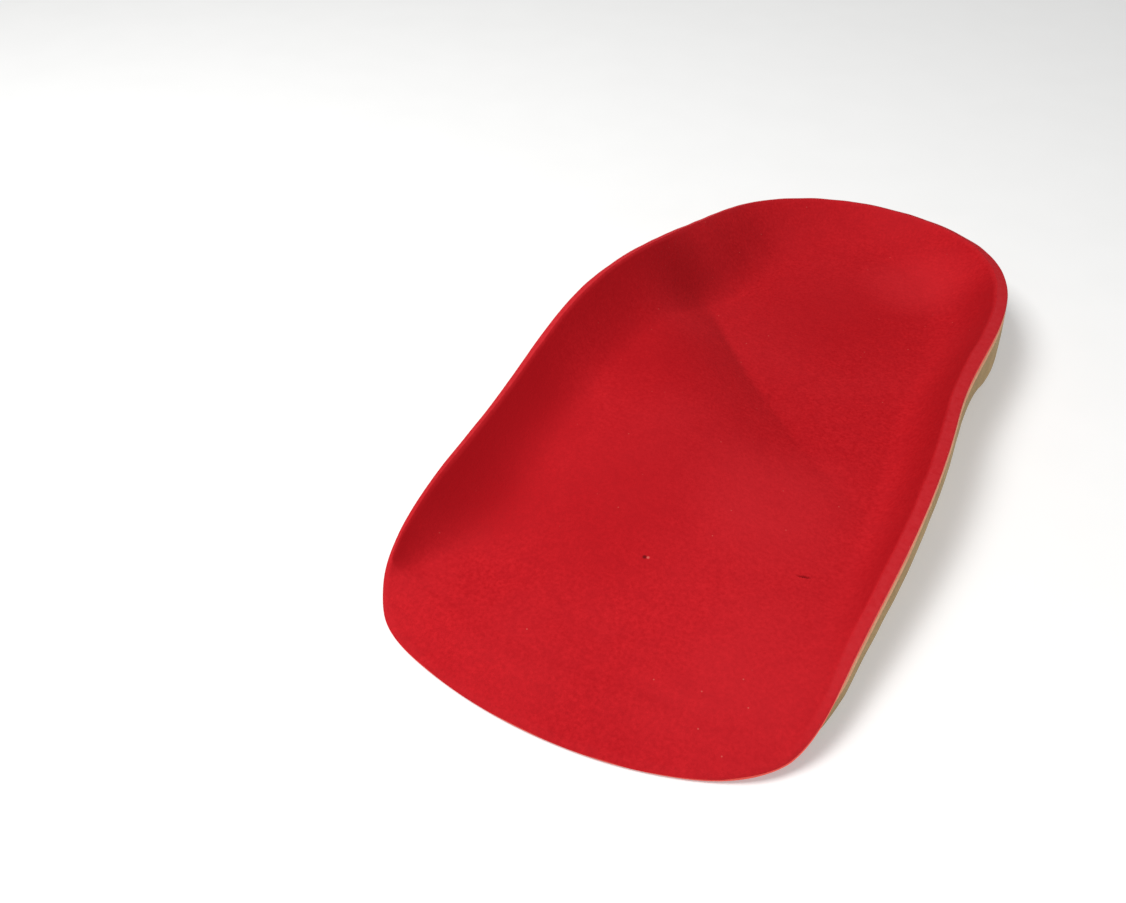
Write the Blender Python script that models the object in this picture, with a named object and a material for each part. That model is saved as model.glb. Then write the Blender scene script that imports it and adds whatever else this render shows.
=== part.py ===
"""Three-quarter-length orthotic insole for the left foot: red cover, thin tan layer and khaki shell base.

Metres, +Z up. +Y points to the toes and +X to the arch side. The origin is under the middle of the outline.
Every surface is one bed shape moved straight down, so the layers nest with the same clearance everywhere.
"""
import math
from collections import namedtuple

import bmesh
import bpy
import numpy as np

# Driving dimensions
LENGTH = 0.176
FOREFOOT_WIDTH = 0.083
HEEL_WIDTH = 0.066
ARCH_HEIGHT = 0.0255
SIDE_HEIGHT = 0.0170
COVER_THICKNESS = 0.0020
MIDDLE_THICKNESS = 0.0010
BASE_LEAST_THICKNESS = 0.0008
BASE_HEEL_THICKNESS = 0.0032
LAYER_CLEARANCE = 0.0003
FLAP_LENGTH = 0.0100
FLAP_BEND_LENGTH = 0.0085
FLAP_FLOOR_CLEARANCE = 0.0002
LIP_WIDTH = 0.0024
WALL_WIDTH = 0.0160
BASE_EDGE_HEIGHT = 0.0034
BASE_EDGE_FLARE = 0.0007
UNDERCUT = 0.0180
HEEL_POST_LENGTH = 0.0670
HEEL_POST_BLEND_OUTER = 0.0260
HEEL_POST_BLEND_ARCH = 0.0400
HEEL_POST_UNDERCUT = 0.0028
HEEL_POST_FLARE = 0.0010
HEEL_POST_FOOT = 0.0030
PAD_HEIGHT = 0.0050
ARCH_FILL_HEIGHT = 0.0085
FRONT_BED_SOFTNESS = 0.0004

# What follows from them
HALF_FOREFOOT = FOREFOOT_WIDTH / 2
HALF_HEEL = HEEL_WIDTH / 2
STACK_ABOVE_BASE = COVER_THICKNESS + MIDDLE_THICKNESS + 2 * LAYER_CLEARANCE
HEEL_BED_HEIGHT = STACK_ABOVE_BASE + BASE_HEEL_THICKNESS
FRONT_BED_HEIGHT = STACK_ABOVE_BASE + BASE_LEAST_THICKNESS
FLAP_HEIGHT = COVER_THICKNESS + FLAP_FLOOR_CLEARANCE

# Mesh resolution
RIM_POINTS = 96
BED_RINGS = (0.08, 0.34, 0.60, 0.82, 1.00)
WALL_RINGS = (0.36, 0.70, 1.00)
FLAP_RINGS = (0.25, 0.50, 0.75, 1.00)
UNDERSIDE_RINGS = (0.10, 0.50, 1.00)
UNDERCUT_RINGS = (0.35, 0.70, 1.00)

# The rim, once round from the back of the heel by the arch side, the toes and the outer side.
# across is a share of its half width, along of LENGTH and height of its rise.
# lip, wall and flap are shares of LIP_WIDTH, WALL_WIDTH and FLAP_LENGTH. steep is how many times its mean
# slope the wall has at its top. skive is how much of the cover's thickness is trimmed away at its very edge.
# edge, flare and undercut are shares of BASE_EDGE_HEIGHT, of BASE_EDGE_FLARE or HEEL_POST_FLARE, and of
# UNDERCUT in front of the heel post.
RimPoint = namedtuple(
    "RimPoint", "across half_width along height rise lip wall steep flap skive edge flare undercut"
)
RIM = (
    RimPoint(0.00, HALF_HEEL, 0.000, 0.82, SIDE_HEIGHT, 0.8, 0.95, 1.9, 0.0, 0.30, 1.0, 0.3, 0.20),
    RimPoint(0.62, HALF_HEEL, 0.025, 0.84, SIDE_HEIGHT, 0.7, 1.00, 1.9, 0.0, 0.30, 1.0, 0.2, 0.20),
    RimPoint(1.05, HALF_HEEL, 0.112, 0.94, SIDE_HEIGHT, 0.7, 1.00, 1.7, 0.0, 0.30, 1.0, 0.2, 0.40),
    RimPoint(0.935, HALF_FOREFOOT, 0.245, 0.78, ARCH_HEIGHT, 0.7, 1.02, 1.45, 0.0, 0.30, 1.0, 0.3, 0.90),
    RimPoint(0.965, HALF_FOREFOOT, 0.405, 0.98, ARCH_HEIGHT, 0.7, 0.80, 1.40, 0.0, 0.30, 1.0, 0.5, 1.30),
    RimPoint(0.97, HALF_FOREFOOT, 0.567, 0.98, ARCH_HEIGHT, 0.7, 0.76, 1.40, 0.0, 0.30, 1.0, 0.5, 1.20),
    RimPoint(0.925, HALF_FOREFOOT, 0.716, 0.73, ARCH_HEIGHT, 0.6, 0.82, 1.46, 0.0, 0.30, 1.0, 0.5, 0.80),
    RimPoint(0.915, HALF_FOREFOOT, 0.842, 0.49, ARCH_HEIGHT, 0.5, 0.89, 1.60, 0.0, 0.30, 0.9, 0.5, 0.30),
    RimPoint(0.888, HALF_FOREFOOT, 0.896, 0.365, ARCH_HEIGHT, 0.4, 0.62, 1.5, 0.0, 0.40, 0.6, 0.3, 0.15),
    RimPoint(0.855, HALF_FOREFOOT, 0.928, 0.25, ARCH_HEIGHT, 0.4, 0.40, 1.5, 0.05, 0.50, 0.4, 0.1, 0.12),
    RimPoint(0.775, HALF_FOREFOOT, 0.957, 0.15, ARCH_HEIGHT, 0.5, 0.30, 1.9, 0.70, 0.60, 0.3, 0.0, 0.10),
    RimPoint(0.46, HALF_FOREFOOT, 0.987, 0.00, ARCH_HEIGHT, 0.5, 0.30, 1.9, 1.0, 0.65, 0.3, 0.0, 0.10),
    RimPoint(-0.14, HALF_FOREFOOT, 0.989, 0.00, SIDE_HEIGHT, 0.5, 0.30, 1.9, 1.0, 0.65, 0.3, 0.0, 0.10),
    RimPoint(-0.65, HALF_FOREFOOT, 0.955, 0.00, SIDE_HEIGHT, 0.5, 0.30, 1.9, 0.9, 0.60, 0.3, 0.0, 0.10),
    RimPoint(-0.97, HALF_FOREFOOT, 0.894, 0.26, SIDE_HEIGHT, 0.5, 0.30, 1.9, 0.30, 0.40, 0.35, 0.3, 0.10),
    RimPoint(-1.01, HALF_FOREFOOT, 0.806, 0.52, SIDE_HEIGHT, 0.7, 0.36, 1.9, 0.0, 0.12, 0.75, 0.6, 0.30),
    RimPoint(-0.995, HALF_FOREFOOT, 0.655, 0.80, SIDE_HEIGHT, 0.85, 0.46, 1.9, 0.0, 0.12, 1.0, 1.0, 0.60),
    RimPoint(-0.925, HALF_FOREFOOT, 0.480, 0.97, SIDE_HEIGHT, 0.95, 0.58, 1.9, 0.0, 0.12, 1.0, 1.0, 0.70),
    RimPoint(-0.878, HALF_FOREFOOT, 0.408, 0.98, SIDE_HEIGHT, 1.0, 0.62, 1.9, 0.0, 0.12, 1.0, 1.0, 0.60),
    RimPoint(-1.07, HALF_HEEL, 0.285, 0.99, SIDE_HEIGHT, 1.0, 0.68, 1.9, 0.0, 0.12, 1.0, 1.0, 0.50),
    RimPoint(-0.95, HALF_HEEL, 0.142, 0.94, SIDE_HEIGHT, 1.0, 0.90, 2.3, 0.0, 0.12, 1.0, 0.8, 0.30),
    RimPoint(-0.59, HALF_HEEL, 0.040, 0.86, SIDE_HEIGHT, 0.9, 0.95, 1.9, 0.0, 0.30, 1.0, 0.5, 0.20),
)

# The bed between the walls, from the heel to the toes. along is a share of LENGTH.
# outer, middle and arch are how much of ARCH_FILL_HEIGHT the bed has gained over the level below it.
# level is the share of the way from the heel bed's height down to the front bed's. outer and arch are at
# BED_SIDE_SHARE of HALF_FOREFOOT to either side.
BedRow = namedtuple("BedRow", "along level outer middle arch")
BED = (
    BedRow(0.00, 0.00, 0.06, 0.06, 0.06),
    BedRow(0.17, 0.00, 0.03, 0.00, 0.05),
    BedRow(0.30, 0.00, 0.02, 0.02, 0.20),
    BedRow(0.42, 0.10, 0.06, 0.17, 0.50),
    BedRow(0.55, 0.30, 0.16, 0.32, 0.56),
    BedRow(0.68, 0.50, 0.27, 0.33, 0.36),
    BedRow(0.80, 0.75, 0.28, 0.22, 0.12),
    BedRow(0.92, 1.00, 0.06, 0.05, 0.04),
    BedRow(1.00, 1.00, 0.00, 0.00, 0.00),
)
BED_SIDE_SHARE = 0.70

# Borders of the raised pad. Ends are shares of HALF_FOREFOOT across and of LENGTH along, with the pad on the
# left of the way from start to end. bow is how far the middle of a border bends into the pad, as a share of
# LENGTH, and start_softness and end_softness are the shares of LENGTH over which the pad rises. roll is 1 for
# a pad that meets the bed in a crease and rolls over to its top and 0 for one that is soft at both ends, and
# depth is how much of the pad's height the border takes away.
PadBorder = namedtuple(
    "PadBorder", "start_across start_along end_across end_along bow start_softness end_softness roll depth"
)
PAD_BORDERS = (
    PadBorder(-0.46, 0.560, 0.62, 0.345, 0.012, 0.300, 0.115, 1.0, 1.0),
    PadBorder(-0.24, 0.795, -0.84, 0.655, 0.000, 0.045, 0.045, 0.8, 0.2),
    PadBorder(0.78, 0.860, -0.24, 0.900, 0.000, 0.220, 0.220, 0.0, 1.0),
    PadBorder(-1.15, 0.760, -0.80, 0.470, 0.000, 0.300, 0.300, 0.0, 0.25),
)

# How far beyond a pad border's ends, squared, its bend goes on, and how far its start's softness grows
BOW_REACH = 4.0
SOFTENING_REACH = 1.4
# How closely a border's softness keeps to its start, and its lost roll to its end: higher is closer
SOFTENING_POWER = 4
ROLL_LOSS_POWER = 8
# Share of FLAP_LENGTH from which a flap's wall is soft at its top too
SOFT_FLAP_SHARE = 0.5

# The line inside the outline that the rings shrink to, with its ends as shares of LENGTH and its place
# across as a share of HALF_FOREFOOT
SPINE_HEEL = 0.20
SPINE_FRONT = 0.80
SPINE_ACROSS = -0.04

# Looks
COVER_COLOUR = (0.546, 0.012, 0.018, 1.0)
MIDDLE_COLOUR = (0.604, 0.319, 0.191, 1.0)
BASE_COLOUR = (0.266, 0.178, 0.080, 1.0)
COVER_ROUGHNESS = 0.85
BODY_ROUGHNESS = 0.75
RIM_CREASE_ANGLE = math.radians(40)


def clear_scene():
    """Remove everything that the start-up file holds."""
    for item in list(bpy.data.objects):
        bpy.data.objects.remove(item)


def matte(name, colour, roughness):
    """A plain non-metal material."""
    material = bpy.data.materials.new(name)
    material.use_nodes = True
    shader = material.node_tree.nodes["Principled BSDF"]
    shader.inputs["Base Color"].default_value = colour
    shader.inputs["Roughness"].default_value = roughness
    shader.inputs["Metallic"].default_value = 0.0
    return material


def ease(share):
    """A smooth step from 0 to 1."""
    share = min(max(share, 0.0), 1.0)
    return share * share * (3 - 2 * share)


def closed_spline(points, places):
    """Points of the smooth closed cubic curve through points, at places that are shares of the way round."""
    chords = np.linalg.norm(np.roll(points, -1, 0)[:, :2] - points[:, :2], axis=1)
    knots = np.concatenate([[0.0], np.cumsum(chords)])
    count = len(points)
    system = np.zeros((count, count))
    wanted = np.zeros_like(points)
    for i in range(count):
        before, after = chords[i - 1], chords[i]
        system[i, i - 1] = after
        system[i, i] = 2 * (before + after)
        system[i, (i + 1) % count] = before
        slope_before = (points[i] - points[i - 1]) / before
        slope_after = (points[(i + 1) % count] - points[i]) / after
        wanted[i] = 3 * (after * slope_before + before * slope_after)
    slopes = np.linalg.solve(system, wanted)
    result = []
    for place in places:
        distance = place * knots[-1]
        i = min(int(np.searchsorted(knots, distance, side="right")) - 1, count - 1)
        step = chords[i]
        u = (distance - knots[i]) / step
        j = (i + 1) % count
        result.append(
            points[i] * (2 * u**3 - 3 * u**2 + 1)
            + slopes[i] * step * (u**3 - 2 * u**2 + u)
            + points[j] * (3 * u**2 - 2 * u**3)
            + slopes[j] * step * (u**3 - u**2)
        )
    return np.array(result)


def table_at(rows, along):
    """Smooth values of a table's columns at a share of the length."""
    stations = [row.along for row in rows]
    values = np.array([row[1:] for row in rows])
    slopes = np.gradient(values, stations, axis=0)
    along = min(max(along, stations[0]), stations[-1])
    i = min(int(np.searchsorted(stations, along, side="right")) - 1, len(rows) - 2)
    step = stations[i + 1] - stations[i]
    u = (along - stations[i]) / step
    return (
        values[i] * (2 * u**3 - 3 * u**2 + 1)
        + slopes[i] * step * (u**3 - 2 * u**2 + u)
        + values[i + 1] * (3 * u**2 - 2 * u**3)
        + slopes[i + 1] * step * (u**3 - u**2)
    )


def pad_share(x, y):
    """How much of the raised pad's height is reached at a point: 0 outside its borders, 1 well inside."""
    share = 1.0
    for border in PAD_BORDERS:
        start = np.array([border.start_across * HALF_FOREFOOT, border.start_along * LENGTH])
        end = np.array([border.end_across * HALF_FOREFOOT, border.end_along * LENGTH])
        way = (end - start) / np.linalg.norm(end - start)
        inside = way[0] * (y - start[1]) - way[1] * (x - start[0])
        halfway = np.linalg.norm(end - start) / 2
        along = (way[0] * (x - start[0]) + way[1] * (y - start[1])) / halfway - 1
        inside -= border.bow * LENGTH * (1 - min(along**2, BOW_REACH))
        to_start = min(max((1 - along) / 2, 0.0), SOFTENING_REACH) ** SOFTENING_POWER
        to_end = min(max((1 + along) / 2, 0.0), 1.0) ** ROLL_LOSS_POWER
        softness = border.end_softness + (border.start_softness - border.end_softness) * to_start
        roll = border.roll * (1 - to_end)
        risen = min(max(inside / (softness * LENGTH), 0.0), 1.0)
        rise = ease(risen) * (1 - roll) + risen * (2 - risen) * roll
        share *= 1 - border.depth * (1 - rise)
    return share


def bed_height(x, y):
    """Height of the cover's top between the walls, with x and y from the back of the heel."""
    level, outer, middle, arch = table_at(BED, y / LENGTH)
    side = x / (BED_SIDE_SHARE * HALF_FOREFOOT)
    gained = middle + (arch - outer) / 2 * side + ((arch + outer) / 2 - middle) * side**2
    height = HEEL_BED_HEIGHT + (FRONT_BED_HEIGHT - HEEL_BED_HEIGHT) * level + gained * ARCH_FILL_HEIGHT
    above_front = height + PAD_HEIGHT * pad_share(x, y) - FRONT_BED_HEIGHT
    return FRONT_BED_HEIGHT + (above_front + math.hypot(above_front, FRONT_BED_SOFTNESS)) / 2


RimStation = namedtuple(
    "RimStation", "x y height spine_x spine_y reach lip wall steep flap skive edge flare undercut"
)


def rim_stations():
    """The rim's points in metres, evenly spaced, each with its distance from the spine and its edge sizes."""
    rows = np.array([
        (p.across * p.half_width, p.along * LENGTH, p.height * p.rise, p.lip * LIP_WIDTH, p.wall * WALL_WIDTH,
         p.steep, p.flap * FLAP_LENGTH, p.skive * COVER_THICKNESS, p.edge * BASE_EDGE_HEIGHT, p.flare,
         p.undercut * UNDERCUT)
        for p in RIM
    ])
    stations = []
    for row in closed_spline(rows, np.arange(RIM_POINTS) / RIM_POINTS):
        x, y, height, lip, wall, steep, flap, skive, edge, flare, undercut = row
        height = max(height, FRONT_BED_HEIGHT)
        spine_x = SPINE_ACROSS * HALF_FOREFOOT
        spine_y = min(max(y, SPINE_HEEL * LENGTH), SPINE_FRONT * LENGTH)
        reach = math.hypot(x - spine_x, y - spine_y)
        post_blend = HEEL_POST_BLEND_ARCH if x > spine_x else HEEL_POST_BLEND_OUTER
        post = ease((HEEL_POST_LENGTH - y) / post_blend)
        post_edge = height - STACK_ABOVE_BASE - HEEL_POST_FOOT
        edge = max(edge + (post_edge - edge) * post, BASE_LEAST_THICKNESS)
        undercut += (HEEL_POST_UNDERCUT - undercut) * post
        flare = max(flare, 0.0) * (BASE_EDGE_FLARE + (HEEL_POST_FLARE - BASE_EDGE_FLARE) * post)
        flap = max(flap, 0.0)
        stations.append(RimStation(
            x, y, height, spine_x, spine_y, reach, lip, wall, steep, flap, skive, edge, flare, undercut
        ))
    return stations


def top_point(station, share):
    """The point of the cover's top at a share of the way from the spine to the rim."""
    x = station.spine_x + (station.x - station.spine_x) * share
    y = station.spine_y + (station.y - station.spine_y) * share
    inward = (1 - share) * station.reach
    part = min(max(1 - (inward - station.flap - station.lip) / station.wall, 0.0), 1.0)
    steep = station.steep
    straight = steep * part - (steep - 1) * (1 - (1 - part) ** (steep / (steep - 1)))
    soft = min(max(station.flap / (FLAP_LENGTH * SOFT_FLAP_SHARE), 0.0), 1.0)
    climbed = straight * (1 - soft) + ease(part) * soft
    height = bed_height(x, y)
    height += (station.height - height) * climbed
    fallen = ease((station.flap - LAYER_CLEARANCE - inward) / FLAP_BEND_LENGTH)
    return np.array([x, y, height + (FLAP_HEIGHT - height) * fallen])


def body_shares(station):
    """Where the rings up to the lip cross the way from the spine to the rim."""
    lip_start = 1 - (station.flap + station.lip) / station.reach
    foot = lip_start - station.wall / station.reach
    return [ring * foot for ring in BED_RINGS] + [foot + ring * (lip_start - foot) for ring in WALL_RINGS]


def flare_at(station, drop):
    """How far the edge stands out beyond the rim at a depth below the cover's top."""
    depth = drop - COVER_THICKNESS
    return station.flare * depth / (STACK_ABOVE_BASE - COVER_THICKNESS + station.edge)


def cover_rings(stations, drop, skived):
    """Rings of the cover's top or bottom, out to the rim, with its edge thinner where it is skived."""
    rings = []
    for station in stations:
        shares = body_shares(station)
        lip_start = shares[-1]
        points = [top_point(station, share) - np.array((0.0, 0.0, drop)) for share in shares]
        for ring in FLAP_RINGS:
            point = top_point(station, lip_start + ring * (1 - lip_start))
            point[2] -= drop + station.skive * ring * skived
            points.append(point)
        rings.append(points)
    return list(zip(*rings))


def body_rings(stations, drop):
    """Rings of a surface of the layers below the cover, out to their flared edge where the flap begins."""
    rings = []
    for station in stations:
        outmost = 1 + (flare_at(station, drop) - station.flap) / station.reach
        points = [top_point(station, share) for share in body_shares(station) + [outmost]]
        rings.append([point - np.array((0.0, 0.0, drop)) for point in points])
    return list(zip(*rings))


def underside_rings(stations, top_rim):
    """Rings of the base's underside: a flat sole, then the undercut up to the foot of the edge wall."""
    columns = []
    for station, rim in zip(stations, top_rim):
        spine = np.array([station.spine_x, station.spine_y])
        reach = math.hypot(rim[0] - spine[0], rim[1] - spine[1])
        sole = 1 - station.undercut / reach
        edge_foot = max(rim[2] - station.edge, 0.0)
        widest = 1 + (station.flare - flare_at(station, STACK_ABOVE_BASE)) / reach
        steps = [(ring * sole, 0.0) for ring in UNDERSIDE_RINGS]
        for ring in UNDERCUT_RINGS:
            steps.append((sole + ring * (widest - sole), edge_foot * (1 - math.cos(ring * math.pi / 2))))
        columns.append([np.array([*(spine + (rim[:2] - spine) * share), height]) for share, height in steps])
    return list(zip(*columns))


def add_faces(mesh, triangles, upward):
    """Add triangles that are listed as seen from above, or turn them over for an underside."""
    for corners in triangles:
        if len(set(corners)) == 3:
            mesh.faces.new(corners if upward else corners[::-1])


def add_surface(mesh, rows, upward):
    """Triangles over rings that run from the spine outwards, all cut along the same diagonals."""
    count = RIM_POINTS
    for inner, outer in zip(rows, rows[1:]):
        for i in range(count):
            j = (i + 1) % count
            add_faces(mesh, ((inner[i], outer[i], outer[j]), (inner[i], outer[j], inner[j])), upward)
    strip = rows[0]
    for i in range(count // 2):
        near, far = strip[(count - i) % count], strip[count - i - 1]
        add_faces(mesh, ((strip[i], strip[i + 1], far), (strip[i], far, near)), upward)


def layer_mesh(name, top_rings, bottom_rings, shift):
    """One closed body between two sets of rings that both run from the spine to the edge."""
    mesh = bmesh.new()
    top = [[mesh.verts.new(point + shift) for point in ring] for ring in top_rings]
    bottom = [[mesh.verts.new(point + shift) for point in ring] for ring in bottom_rings]
    add_surface(mesh, top, True)
    add_surface(mesh, bottom, False)
    for i in range(RIM_POINTS):
        j = (i + 1) % RIM_POINTS
        mesh.faces.new((top[-1][i], bottom[-1][i], bottom[-1][j], top[-1][j]))
    data = bpy.data.meshes.new(name)
    mesh.to_mesh(data)
    mesh.free()
    data.shade_smooth()
    data.set_sharp_from_angle(angle=RIM_CREASE_ANGLE)
    return data


def middle_of(layers):
    """The point on the floor under the middle of all the layers together."""
    points = np.array([point for top, bottom in layers for ring in top + bottom for point in ring])
    low = points.min(axis=0)
    high = points.max(axis=0)
    return np.array(((low[0] + high[0]) / 2, (low[1] + high[1]) / 2, low[2]))


def add_layer(name, rings, material, shift):
    """Put one layer in the scene."""
    data = layer_mesh(name, rings[0], rings[1], shift)
    data.materials.append(material)
    layer = bpy.data.objects.new(name, data)
    bpy.context.collection.objects.link(layer)


def cover_layer(stations):
    """Rings of the red cover's top and bottom."""
    return cover_rings(stations, 0.0, True), cover_rings(stations, COVER_THICKNESS, False)


def middle_layer(stations):
    """Rings of the thin tan layer's top and bottom."""
    drop = COVER_THICKNESS + LAYER_CLEARANCE
    return body_rings(stations, drop), body_rings(stations, drop + MIDDLE_THICKNESS)


def base_layer(stations):
    """Rings of the khaki shell's top and underside."""
    top = body_rings(stations, STACK_ABOVE_BASE)
    return top, underside_rings(stations, top[-1])


def build():
    """Model the insole's three layers."""
    clear_scene()
    stations = rim_stations()
    cover = cover_layer(stations)
    middle = middle_layer(stations)
    base = base_layer(stations)
    shift = -middle_of((cover, middle, base))
    add_layer("top_cover", cover, matte("red cover", COVER_COLOUR, COVER_ROUGHNESS), shift)
    add_layer("middle_layer", middle, matte("tan layer", MIDDLE_COLOUR, BODY_ROUGHNESS), shift)
    add_layer("base", base, matte("khaki shell", BASE_COLOUR, BODY_ROUGHNESS), shift)


build()
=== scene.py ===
"""Looks for the three-quarter-length shoe insole: red cover, thin tan layer and khaki shell.

Metres, +Z up, +Y to the toes and +X to the arch side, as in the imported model. Each layer is rebuilt
with a finer mesh of the same shape, with its trimmed edges, and stands for its solid.
"""

import math
from collections import namedtuple

import bmesh
import bpy
import numpy as np
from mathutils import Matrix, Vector, noise


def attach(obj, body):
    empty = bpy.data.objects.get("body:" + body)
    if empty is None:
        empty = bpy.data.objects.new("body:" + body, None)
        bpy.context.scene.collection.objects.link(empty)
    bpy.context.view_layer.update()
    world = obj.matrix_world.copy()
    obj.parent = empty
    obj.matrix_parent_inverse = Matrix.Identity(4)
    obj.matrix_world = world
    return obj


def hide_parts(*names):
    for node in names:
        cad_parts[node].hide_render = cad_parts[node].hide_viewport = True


# Sizes of the solids
LENGTH = 0.176
FOREFOOT_WIDTH = 0.083
HEEL_WIDTH = 0.066
ARCH_HEIGHT = 0.0255
SIDE_HEIGHT = 0.0170
COVER_THICKNESS = 0.0020
MIDDLE_THICKNESS = 0.0010
BASE_LEAST_THICKNESS = 0.0008
BASE_HEEL_THICKNESS = 0.0032
LAYER_CLEARANCE = 0.0003
FLAP_LENGTH = 0.0100
FLAP_BEND_LENGTH = 0.0085
FLAP_FLOOR_CLEARANCE = 0.0002
LIP_WIDTH = 0.0024
WALL_WIDTH = 0.0160
BASE_EDGE_HEIGHT = 0.0034
BASE_EDGE_FLARE = 0.0007
UNDERCUT = 0.0180
HEEL_POST_LENGTH = 0.0670
HEEL_POST_BLEND_OUTER = 0.0260
HEEL_POST_BLEND_ARCH = 0.0400
HEEL_POST_UNDERCUT = 0.0028
HEEL_POST_FLARE = 0.0010
HEEL_POST_FOOT = 0.0030
PAD_HEIGHT = 0.0050
ARCH_FILL_HEIGHT = 0.0085
FRONT_BED_SOFTNESS = 0.0004

# What follows from them
HALF_FOREFOOT = FOREFOOT_WIDTH / 2
HALF_HEEL = HEEL_WIDTH / 2
STACK_ABOVE_BASE = COVER_THICKNESS + MIDDLE_THICKNESS + 2 * LAYER_CLEARANCE
HEEL_BED_HEIGHT = STACK_ABOVE_BASE + BASE_HEEL_THICKNESS
FRONT_BED_HEIGHT = STACK_ABOVE_BASE + BASE_LEAST_THICKNESS
FLAP_HEIGHT = COVER_THICKNESS + FLAP_FLOOR_CLEARANCE

# Sizes of what only the looks show. A drop is a depth below the cover's top.
TAN_TOP_DROP = 0.00212
TAN_BOTTOM_DROP = 0.00285
SHELL_TOP_DROP = 0.00290
EDGE_ROUNDING = 0.00035
SEAM_TUCK = 0.00015
SEAM_HEIGHT = 0.00015
SHELL_ROUNDING = 0.00060
# How far the cut edges of the lower layers stand out, and the share of BASE_EDGE_FLARE from which they do so
# in full
TAN_STANDOUT = 0.00022
SHELL_STANDOUT = 0.00022
FULL_STANDOUT_FLARE = 0.4
# From which height the shell is painted darker towards the floor, as painted shade where it curves under, and
# how much it has darkened there
SHELL_SHADE_HEIGHT = 0.006
SHELL_SHADE_SHARE = 0.6

# Gentle irregularities of the hand-trimmed edges, and the scales and seeds of their noise round the rim
GRIND_WANDER = 0.00022
LIP_WANDER_SHARE = 0.10
SKIVE_WANDER_SHARE = 0.25
LIP_WANDER_SCALE = 9.0
LIP_WANDER_SEED = 3.1
EDGE_WANDER_SCALE = 14.0
EDGE_WANDER_SEED = 7.7

# Marks for the cover's material: how wide the lip's border is, how much of the wall beside the lip gets
# painted shade, and where along the insole each mark grows or fades, over which reach and by how much. Starts
# and reaches are shares of LENGTH and FULL_FRONT_FLAP is one of FLAP_LENGTH.
LIP_BLEND = 0.00045
WALL_SHADE_SHARE = 0.95
FULL_FRONT_FLAP = 0.3
LIP_FRONT_LOSS = 0.7
LIP_TOE_LOSS = 0.6
LIP_TOE_START = 0.76
LIP_TOE_REACH = 0.14
# Painted shade on the outer wall and on the arch wall, beside the lip
OUTER_WALL_SHADE = 0.6
OUTER_WALL_SHADE_START = 0.06
OUTER_WALL_SHADE_REACH = 0.10
OUTER_WALL_SHADE_LOSS = 0.7
OUTER_LOSS_START = 0.70
OUTER_LOSS_REACH = 0.15
ARCH_WALL_SHADE = 0.85
ARCH_WALL_SHADE_START = 0.26
ARCH_WALL_SHADE_REACH = 0.12
ARCH_WALL_SHADE_MORE = 0.15
ARCH_MORE_START = 0.58
ARCH_MORE_REACH = 0.10

# Mesh resolution. Lists of rings give their places as shares of the way along their part of the surface, and
# the angle from which an edge stays sharp is in degrees.
RIM_POINTS = 560
BED_RING_COUNT = 40
WALL_RING_COUNT = 20
LIP_RING_COUNT = 12
UNDERSIDE_RING_COUNT = 12
FIRST_RING_SHARE = 0.03
HIDDEN_BED_RING_COUNT = 10
HIDDEN_WALL_RING_COUNT = 8
COVER_UNDER_WALL_RING_COUNT = 6
CUT_SIDE_RINGS = (0.25, 0.50, 0.75)
TAN_EDGE_RINGS = (0.0, 0.5, 1.0)
SHELL_SIDE_RINGS = (0.0, 0.12, 0.25, 0.38, 0.50, 0.62, 0.75, 0.88)
UNDERCUT_RINGS = (1.0, 0.9, 0.8, 0.65, 0.5, 0.35, 0.2)
LAST_SOLE_RING_SHARE = 0.05
SHARP_ANGLE = 48

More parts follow.
